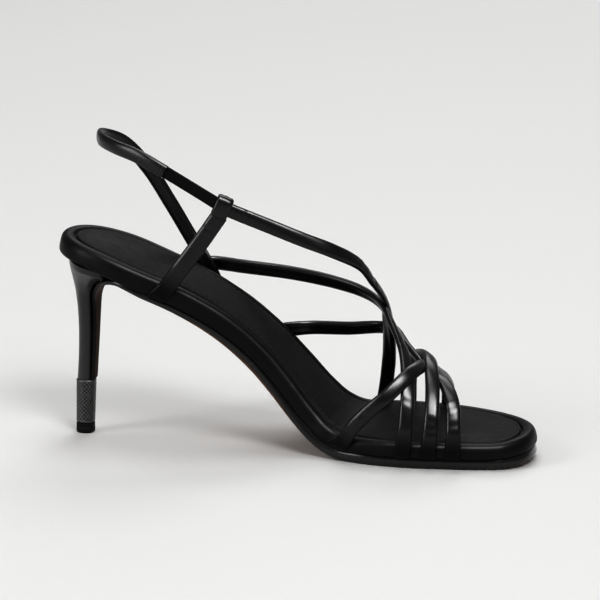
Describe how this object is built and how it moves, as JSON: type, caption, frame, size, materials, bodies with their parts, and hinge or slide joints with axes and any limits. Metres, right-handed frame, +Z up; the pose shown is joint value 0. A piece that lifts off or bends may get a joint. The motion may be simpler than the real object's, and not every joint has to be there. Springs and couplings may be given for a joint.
{
  "type": "high-heeled sandal",
  "caption": "Left slingback sandal with rounded crossing straps, a padded footbed on a slim high heel and a leather sole, standing empty on the floor.",
  "frame": {"origin": "on the floor, under the middle of the sandal's bounding box", "axes": "+X from heel to toe, +Y to the outer side of the foot, +Z up"},
  "size_m": [0.2214, 0.0836, 0.1425],
  "materials": {
    "outsole_leather": "smooth brown sole leather, dark burnished edge",
    "footbed_leather": "black nappa wrapped over padding, satin",
    "insole_leather": "black lining leather, matt",
    "heel_leather": "black nappa cover, satin",
    "band_metal": "dark grey, finely textured",
    "tip_rubber": "black, matt",
    "strap_leather": "black nappa, soft gloss",
    "loop_leather": "black nappa, soft gloss",
    "elastic_weave": "black woven elastic, matt"
  },
  "bodies": {
    "root": {"outsole": "outsole_leather", "footbed": "footbed_leather", "insole": "insole_leather", "heel": "heel_leather", "heel_band": "band_metal", "heel_tip": "tip_rubber", "upper": "strap_leather", "side_loop": "loop_leather", "sling_elastic": "elastic_weave"}
  },
  "joints": []
}
